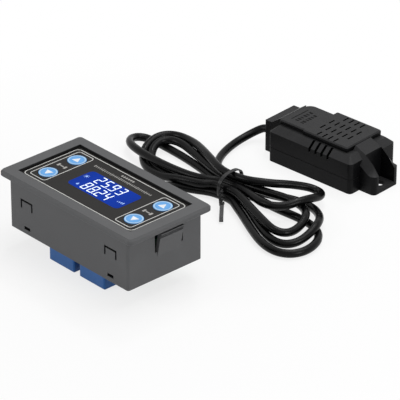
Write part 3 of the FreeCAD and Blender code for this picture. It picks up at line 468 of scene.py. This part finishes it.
lead = {
    "diameter": 0.0035,
    "length": 0.935,
    "route": [  # from the plug to the probe: x, y and height over the floor in millimetres
        (-20.0, 23.1, 12.3), (-20.0, 32.5, 12.3), (-22.8, 40.5, 7.6), (-26.0, 47.1, 4.0),
        (-27.8, 52.6, 2.4), (-26.4, 56.9, 1.8), (-21.9, 59.6, 1.8), (-16.2, 62.4, 1.8),
        (-9.9, 65.4, 2.3), (-3.9, 66.5, 2.5), (1.9, 66.9, 2.5), (7.1, 64.7, 2.1),
        (13.2, 62.1, 1.9), (18.6, 59.5, 1.8), (25.3, 56.3, 1.8), (32.3, 53.3, 1.8),
        (38.7, 51.7, 1.8), (44.6, 51.9, 1.8), (49.0, 54.6, 1.8), (51.1, 59.2, 1.8),
        (50.9, 64.8, 1.8), (48.5, 70.7, 1.8), (43.7, 75.4, 1.8), (36.6, 77.7, 1.8),
        (28.4, 77.5, 1.8), (19.3, 76.1, 2.0), (8.1, 75.4, 2.5), (1.2, 74.5, 2.6),
        (-5.0, 73.7, 2.5), (-12.0, 73.4, 2.3), (-23.9, 76.2, 1.8), (-33.7, 77.7, 1.8),
        (-42.2, 78.5, 1.8), (-49.5, 78.8, 1.8), (-55.2, 78.9, 1.8), (-59.9, 78.7, 1.8),
        (-63.6, 77.8, 2.1), (-65.8, 75.3, 2.6), (-65.7, 71.6, 3.3), (-62.9, 68.0, 4.1),
        (-58.0, 65.4, 4.8), (-51.8, 63.9, 5.3), (-45.2, 63.3, 5.4), (-38.4, 63.2, 5.4),
        (-31.6, 63.5, 5.5), (-25.0, 64.1, 5.6), (-18.7, 65.2, 5.8), (-13.9, 67.3, 5.9),
        (-10.1, 70.6, 5.7), (-4.5, 71.8, 5.7), (1.3, 72.4, 5.7), (7.1, 71.5, 6.1),
        (12.7, 70.0, 6.6), (17.9, 69.0, 6.9), (22.5, 70.4, 6.8), (26.0, 74.2, 6.9),
        (28.0, 79.7, 7.8), (28.7, 85.7, 7.3), (27.8, 91.1, 5.5), (25.4, 95.2, 4.3),
        (21.8, 96.8, 3.8), (18.1, 95.4, 4.5), (15.5, 91.5, 5.8), (13.4, 86.8, 7.3),
        (11.1, 82.5, 8.2), (7.8, 78.9, 8.8), (1.9, 75.2, 8.8), (-4.7, 73.8, 8.7),
        (-10.9, 73.4, 8.8), (-17.5, 75.3, 8.9), (-25.0, 78.3, 8.6), (-32.2, 81.4, 7.7),
        (-39.1, 84.0, 6.7), (-45.4, 85.3, 5.8), (-50.4, 85.1, 5.5), (-53.9, 83.4, 5.4),
        (-55.9, 80.4, 5.4), (-56.5, 76.7, 5.1), (-56.2, 72.8, 4.0), (-54.9, 69.3, 2.6),
        (-51.6, 65.6, 2.0), (-47.5, 62.6, 1.8), (-42.8, 60.4, 1.9), (-37.4, 59.3, 2.2),
        (-31.5, 59.2, 3.0), (-25.4, 60.0, 4.5), (-18.8, 61.3, 5.3), (-13.1, 63.1, 5.5),
        (-9.5, 66.9, 5.7), (-4.0, 68.2, 5.7), (1.8, 68.8, 5.6), (7.7, 67.3, 5.5),
        (13.6, 65.3, 5.4), (19.9, 63.2, 5.3), (26.7, 61.1, 5.2), (33.1, 59.5, 4.9),
        (37.6, 60.8, 4.3), (39.1, 65.0, 3.7), (38.2, 71.0, 4.1), (35.4, 76.5, 5.3),
        (30.4, 81.0, 4.4), (24.0, 82.9, 4.2), (17.5, 81.8, 4.6), (10.9, 79.3, 5.0),
        (2.2, 76.7, 5.4), (-4.9, 75.5, 5.6), (-11.2, 74.9, 5.6), (-18.2, 75.7, 5.4),
        (-25.0, 77.4, 5.1), (-31.4, 79.1, 4.9), (-37.4, 80.5, 4.8), (-43.0, 81.5, 5.1),
        (-47.7, 81.4, 5.2), (-51.0, 79.9, 5.3), (-52.6, 77.4, 5.2), (-52.8, 74.3, 4.6),
        (-52.1, 71.7, 3.5), (-50.1, 69.1, 2.5), (-46.6, 66.1, 2.0), (-42.1, 63.9, 1.9),
        (-36.9, 62.9, 1.8), (-31.2, 63.2, 1.8), (-24.9, 64.5, 1.9), (-18.3, 66.3, 2.1),
        (-10.6, 68.9, 2.4), (-4.4, 70.0, 2.5), (1.5, 70.5, 2.5), (7.1, 68.8, 2.2),
        (12.8, 66.5, 2.0), (19.0, 63.6, 1.8), (26.3, 60.2, 1.8), (33.3, 57.6, 1.8),
        (39.2, 57.1, 1.8), (43.2, 59.2, 2.0), (45.0, 63.6, 2.5), (45.1, 69.2, 4.0),
        (43.4, 75.4, 5.5), (38.2, 81.8, 3.9), (31.0, 86.4, 2.5), (23.7, 87.7, 2.1),
        (16.9, 85.9, 2.1), (10.5, 82.4, 2.4), (2.0, 78.7, 2.6), (-5.1, 77.4, 2.6),
        (-11.1, 76.9, 2.5), (-16.5, 78.1, 2.0), (-21.7, 80.7, 1.8), (-26.6, 84.9, 1.8),
        (-30.5, 90.5, 1.8), (-33.1, 96.9, 1.9), (-34.6, 103.1, 2.2), (-34.7, 108.9, 2.9),
        (-33.3, 113.4, 4.4), (-30.6, 116.5, 6.2), (-26.6, 116.8, 6.3),
    ],
}
cordCurve = bpy.data.curves.new("sensorLead", "CURVE")
cordCurve.dimensions = "3D"
cordCurve.bevel_depth = lead["diameter"] / 2
cordCurve.bevel_resolution = 5
cordCurve.resolution_u = 6
spline = cordCurve.splines.new("NURBS")
spline.points.add(len(lead["route"]) - 1)
for point, (x, y, height) in zip(spline.points, lead["route"]):
    point.co = (x * mm, y * mm, floorZ + height * mm, 1)
spline.order_u = 3
spline.use_endpoint_u = True
cordCurve.materials.append(materials["sheath"])
sensorLead = bpy.data.objects.new("sensorLead", cordCurve)
bpy.context.collection.objects.link(sensorLead)
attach(sensorLead, "root")
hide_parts("cable_lead", "cable_probe_lead", "cable_hank")
print("lead laid")

tie = {
    "ribbon": 1.7,
    "thickness": 0.5,
    "ring": {"centre": (-4.6, 71.9, 5.7), "turn": math.radians(8.0), "halfWidth": 7.25,
             "halfHeight": 5.3, "low": 0.62, "square": 0.75, "steps": 28},
    "twist": {"start": (-1.9, 64.2, 6.2), "end": (3.7, 59.6, 3.7), "turns": 1.75,
              "radius": 0.85, "steps": 24},
    "tail": {"across": (0.68, 0.73, 0.0),
             "points": [(3.3, 59.9, 3.9), (4.6, 58.6, 3.2), (6.3, 56.9, 2.1), (8.1, 55.1, 1.2),
                        (10.0, 53.3, 0.8)]},
}


def strapMesh(bm, points, across, closed):
    # a flat strap swept along its points; across gives its width direction at each of them
    half = tie["ribbon"] / 2 * mm
    thick = tie["thickness"] * mm
    count = len(points)
    rings = []
    for index, point in enumerate(points):
        before = points[index - 1] if closed or index else point
        after = points[(index + 1) % count] if closed or index < count - 1 else point
        along = (after - before).normalized()
        side = across[index].normalized()
        out = along.cross(side).normalized()
        corners = [point + side * half, point + side * half + out * thick,
                   point - side * half + out * thick, point - side * half]
        rings.append([bm.verts.new(corner) for corner in corners])
    for index in range(count if closed else count - 1):
        first, second = rings[index], rings[(index + 1) % count]
        for side in range(4):
            bm.faces.new((first[side], first[(side + 1) % 4], second[(side + 1) % 4], second[side]))
    if not closed:
        bm.faces.new(rings[0])
        bm.faces.new(rings[-1])


def squared(value, power):
    return math.copysign(abs(value) ** power, value)


def tieRing(bm):
    ring = tie["ring"]
    x, y, middle = ring["centre"]
    turned = Matrix.Translation(onFloor(x, y, 0)) @ Matrix.Rotation(ring["turn"], 4, "Z")
    loop = []
    for step in range(ring["steps"]):
        angle = 2 * math.pi * step / ring["steps"]
        across = squared(math.cos(angle), ring["square"]) * ring["halfWidth"]
        up = squared(math.sin(angle), ring["square"]) * ring["halfHeight"]
        loop.append(turned @ Vector((0, across * mm, max(up + middle, ring["low"]) * mm)))
    axis = turned.to_3x3() @ Vector((1, 0, 0))
    strapMesh(bm, loop, [axis] * len(loop), True)


def tieTwist(bm):
    # the two ends are twisted round each other where they leave the bundle
    twist = tie["twist"]
    start, end = onFloor(*twist["start"]), onFloor(*twist["end"])
    along = (end - start).normalized()
    side = along.cross(Vector((0, 0, 1))).normalized()
    over = along.cross(side)
    for phase in (0.0, math.pi):
        strand, widths = [], []
        for step in range(twist["steps"] + 1):
            share = step / twist["steps"]
            angle = phase + 2 * math.pi * twist["turns"] * share
            reach = side * math.cos(angle) + over * math.sin(angle)
            strand.append(start.lerp(end, share) + reach * twist["radius"] * mm)
            widths.append(along.cross(reach))
        strapMesh(bm, strand, widths, False)


def strapTie():
    bm = bmesh.new()
    tieRing(bm)
    tieTwist(bm)
    tail = [onFloor(*point) for point in tie["tail"]["points"]]
    strapMesh(bm, tail, [Vector(tie["tail"]["across"])] * len(tail), False)
    bmesh.ops.recalc_face_normals(bm, faces=bm.faces)
    piece = pieceFrom("leadTie", bm, "tie")
    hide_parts("cable_tie")
    return piece


leadTie = strapTie()
print("tie made")


# Print on the film

filmPrint = {
    "height": 1.42,
    "line": 0.36,
    "boxes": [(-0.25, 0.0, 64.6, 29.2, 2.0), (-26.0, 0.18, 9.0, 26.25, 1.3),
              (25.33, 0.03, 9.25, 26.15, 1.3)],
    "scale": {"start": -17.1, "pitch": 1.0, "count": 34, "y": 10.05, "line": 0.42,
              "tall": 1.5, "short": 1.1},
    "dashes": {"start": -3.4, "pitch": 1.3, "count": 6, "y": 12.35, "size": (0.85, 1.1)},
    "marks": {"places": (-26.0, 25.3), "y": 0.15, "bar": (2.2, 0.6), "dot": (1.1, 1.9),
              "reach": 1.9},
}


def framePrint():
    bm = bmesh.new()
    z, line = filmPrint["height"], filmPrint["line"]
    for x, y, length, width, corner in filmPrint["boxes"]:
        outline = flat(bm, x, y, z, length + line, width + line, 0.0, corner + line / 2)
        hollowed(bm, outline, line)
    return pieceFrom("filmFramePrint", bm, "printGrey")


def scalePrint():
    # a fine tick scale over the display, and a short row of dashes above it
    bm = bmesh.new()
    z = filmPrint["height"]
    scale, dashes = filmPrint["scale"], filmPrint["dashes"]
    for index in range(scale["count"]):
        x = scale["start"] + index * scale["pitch"]
        flat(bm, x, scale["y"], z, scale["line"], scale["short"] if index % 5 else scale["tall"])
    for index in range(dashes["count"]):
        x = dashes["start"] + index * dashes["pitch"]
        flat(bm, x, dashes["y"], z, *dashes["size"], 0.0, 0.2, 2)
    return pieceFrom("filmScalePrint", bm, "printDim")


def keyMarks():
    # plain signs between the keys: a short bar with a dot at each end
    bm = bmesh.new()
    marks = filmPrint["marks"]
    y, z = marks["y"], filmPrint["height"]
    for x in marks["places"]:
        flat(bm, x, y, z, *marks["bar"], 0.0, 0.2, 2)
        for side in (-1, 1):
            flat(bm, x + side * marks["reach"], y, z, *marks["dot"], 0.0, 0.25, 2)
    return pieceFrom("filmKeyMarks", bm, "printDim")


framePrint()
scalePrint()
keyMarks()

keyPrint = {"height": 1.56, "ring": 3.75, "ringLine": 0.62, "arrow": 2.05, "arrowShift": 0.15,
            "arrowLift": 0.01, "arrowCorner": 0.18}


def keyFace(spot, x, y, up):
    z = keyPrint["height"]
    bm = bmesh.new()
    hollowed(bm, disc(bm, x, y, z, keyPrint["ring"], 48), keyPrint["ringLine"])
    pieceFrom("keyRing_" + spot, bm, "printRing", "key_" + spot)
    bm = bmesh.new()
    disc(bm, x, y - up * keyPrint["arrowShift"], z + keyPrint["arrowLift"], keyPrint["arrow"], 3,
         0.0 if up > 0 else -math.pi)
    bmesh.ops.bevel(bm, geom=list(bm.verts), offset=keyPrint["arrowCorner"] * mm,
                    offset_type="OFFSET", segments=3, profile=0.5, affect="VERTICES", material=-1)
    pieceFrom("keyArrow_" + spot, bm, "printWhite", "key_" + spot)


for spot, (keyX, keyY, up) in keySpots.items():
    keyFace(spot, keyX, keyY, up)
print("film printed")


# Display reading

reading = {
    "height": 1.44,
    "lean": 0.06,
    "leanFrom": 3.0,
    "cell": (2.75, 5.6),
    "bar": 0.50,
    "rows": [("2593", -7.75, 0.65, 4.2), ("8824", -8.15, -6.15, 4.05)],
    "point": (-0.65, 0.35, 0.55),
    "bars": {"2": "abged", "3": "abgcd", "4": "fgbc", "5": "afgcd", "8": "abcdefg", "9": "abcdfg"},
}


def sevenBars(bm, digit, left, low):
    wide, tall = reading["cell"]
    bar = reading["bar"]
    half = tall / 2
    spots = {"a": (wide / 2, tall - bar / 2, True), "g": (wide / 2, half, True),
             "d": (wide / 2, bar / 2, True),
             "f": (bar / 2, half * 1.5, False), "b": (wide - bar / 2, half * 1.5, False),
             "e": (bar / 2, half * 0.5, False), "c": (wide - bar / 2, half * 0.5, False)}
    for letter in reading["bars"][digit]:
        x, y, lying = spots[letter]
        long = (wide - bar * 1.1) if lying else (half - bar * 0.62)
        size = (long, bar) if lying else (bar, long)
        flat(bm, left + x, low + y, reading["height"], *size, 0.0, bar * 0.3, 1)


def displayDigits():
    bm = bmesh.new()
    z = reading["height"]
    pointX, pointY, size = reading["point"]
    for text, left, low, pitch in reading["rows"]:
        start = len(bm.verts)
        for index, digit in enumerate(text):
            sevenBars(bm, digit, left + index * pitch, low)
        flat(bm, left + 2 * pitch + pointX, low + pointY, z, size, size, 0.0, 0.2, 2)
        bm.verts.ensure_lookup_table()
        slant = Matrix.Identity(4)
        slant[0][1] = reading["lean"]
        centre = at(0, low + reading["leanFrom"], 0)
        bmesh.ops.transform(bm, verts=bm.verts[start:], matrix=centre @ slant @ centre.inverted())
    return pieceFrom("displayDigits", bm, "displayDigit")


signs = {
    "sun": {"place": (-12.8, 1.8), "radius": 0.55, "reach": 1.05, "ray": (0.4, 0.2)},
    "drop": {"place": (-10.7, -4.9), "radius": 0.6, "rise": 0.65, "tip": 0.55},
    "levels": {"place": (10.9, -2.8), "pitch": 0.95, "wide": 0.5, "first": 0.5, "step": 0.3},
}


def displaySigns():
    # a small sun, a drop and four level bars, dimmer than the digits
    bm = bmesh.new()
    z = reading["height"]
    sun, drop, levels = signs["sun"], signs["drop"], signs["levels"]
    x, y = sun["place"]
    disc(bm, x, y, z, sun["radius"], 16)
    for index in range(8):
        angle = math.pi / 4 * index
        across, up = sun["reach"] * math.cos(angle), sun["reach"] * math.sin(angle)
        flat(bm, x + across, y + up, z, *sun["ray"], angle)
    x, y = drop["place"]
    disc(bm, x, y, z, drop["radius"], 16)
    flat(bm, x, y + drop["rise"], z, drop["tip"], drop["tip"], math.pi / 4)
    x, y = levels["place"]
    for index in range(4):
        flat(bm, x + index * levels["pitch"], y + index * levels["step"] / 2, z, levels["wide"],
             levels["first"] + index * levels["step"])
    return pieceFrom("displaySigns", bm, "displayDim")


window = {
    "clear": {"x": 0.30, "y": -0.30, "z": 1.43, "length": 30.1, "width": 14.0, "corner": 2.1,
              "segments": 8},
    "surround": {"x": -0.20, "y": 0.30, "z": 1.415, "length": 31.8, "width": 16.0, "corner": 0.6},
}


def displayWindow():
    # the film's clear window with its rounded corners, and the print round it over the square glass
    for name, shape, finish in (("displaySurround", "surround", "film"),
                                ("displayWindow", "clear", "display")):
        bm = bmesh.new()
        flat(bm, **window[shape])
        pieceFrom(name, bm, finish)


probeMarks = {
    "origin": (-16.70, 105.03),
    "yaw": math.radians(4.8),
    "height": -11.685,
    "line": (5.6, 13.3, 0.55, 10.6),
    "rows": [(8.2, 1.9, (8.6, 10.2, 11.8, 13.8, 15.4, 17.4)),
             (11.3, 1.8, (8.2, 9.6, 11.4, 13.0, 14.6, 16.4))],
    "narrow": 0.8,
    "wider": 0.35,
}


def probeSigns():
    # a plain moulded line with two rows of short bars, in the probe's own frame
    bm = bmesh.new()
    originX, originY = probeMarks["origin"]
    z, yaw = probeMarks["height"], probeMarks["yaw"]
    cosYaw, sinYaw = math.cos(yaw), math.sin(yaw)
    bars = [probeMarks["line"]]
    for along, length, places in probeMarks["rows"]:
        bars += [(along, across, length, probeMarks["narrow"] + probeMarks["wider"] * (index % 2))
                 for index, across in enumerate(places)]
    for along, across, length, width in bars:
        x = originX + along * cosYaw - across * sinYaw
        y = originY + along * sinYaw + across * cosYaw
        flat(bm, x, y, z, length, width, yaw, 0.15, 2)
    return pieceFrom("probeSigns", bm, "printDark")


displayDigits()
displaySigns()
displayWindow()
probeSigns()
print("display lit")


# Floor, world and lamps

floor = {"half": 3.0, "below": 0.05, "glowNear": 0.74, "glowRise": 0.7, "glowReach": 300.0}


def floorFinish():
    # pale paper that keeps the object's shadow, and glows more with the distance from it
    graph = Finish("paleFloor")
    x, y, z = graph.place()
    distance = (x * x + y * y) / floor["glowReach"] ** 2
    speck = graph.noise(400.0, 2.0)
    colour = graph.blend(speck * 0.1, (0.93, 0.93, 0.93), (0.90, 0.90, 0.90))
    graph.set(colour=colour, rough=0.85)
    glow = graph.node("ShaderNodeEmission", {}, {"Color": (1, 1, 1)})
    share = graph.seen() * (distance * floor["glowRise"] + floor["glowNear"]).clamped()
    both = graph.node("ShaderNodeMixShader", {}, {0: share, 1: graph.body, 2: glow})
    graph.feed(graph.output.inputs["Surface"], both)
    return graph.material


def floorPlane():
    bm = bmesh.new()
    bmesh.ops.create_grid(bm, x_segments=1, y_segments=1, size=floor["half"],
                          matrix=Matrix.Translation(onFloor(0, 0, -floor["below"])))
    mesh = bpy.data.meshes.new("paleFloor")
    bm.to_mesh(mesh)
    bm.free()
    mesh.materials.append(floorFinish())
    plane = bpy.data.objects.new("paleFloor", mesh)
    bpy.context.collection.objects.link(plane)


studio = {"light": {"Color": (1, 1, 1), "Strength": 0.30},
          "backdrop": {"Color": (0.8, 0.8, 0.8), "Strength": 1.0}}


def studioWorld():
    # soft light on the object, and a pale backdrop for what the camera and reflections see
    world = bpy.data.worlds.new("studio")
    bpy.context.scene.world = world
    graph = Graph(world)
    soft = graph.node("ShaderNodeBackground", {}, studio["light"])
    pale = graph.node("ShaderNodeBackground", {}, studio["backdrop"])
    both = graph.node("ShaderNodeMixShader", {}, {0: graph.seen(), 1: soft, 2: pale})
    graph.add("ShaderNodeOutputWorld", {}, {"Surface": both})


lamps = {
    "overhead": {"place": (0.05, 0.25, 0.75), "aim": (0, 0.06, 0), "size": 0.7, "power": 3.3},
    "nearLeft": {"place": (-0.35, -0.75, 0.45), "aim": (0, 0.03, -0.01), "size": 0.5, "power": 2.2},
    "right": {"place": (0.85, 0.05, 0.35), "aim": (0, 0.03, -0.01), "size": 0.4, "power": 2.2},
    "spark": {"place": (-0.25, 0.40, 0.65), "aim": (0, 0.07, -0.02), "size": 0.10, "power": 0.55},
}


def studioLamps():
    for name, lamp in lamps.items():
        light = bpy.data.lights.new(name, "AREA")
        light.shape = "DISK"
        light.size = lamp["size"]
        light.energy = lamp["power"]
        holder = bpy.data.objects.new(name, light)
        holder.location = lamp["place"]
        aim = Vector(lamp["aim"]) - Vector(lamp["place"])
        holder.rotation_euler = aim.to_track_quat("-Z", "Y").to_euler()
        bpy.context.collection.objects.link(holder)


floorPlane()
studioWorld()
studioLamps()
bpy.context.scene.view_settings.view_transform = "Standard"
print("studio set")
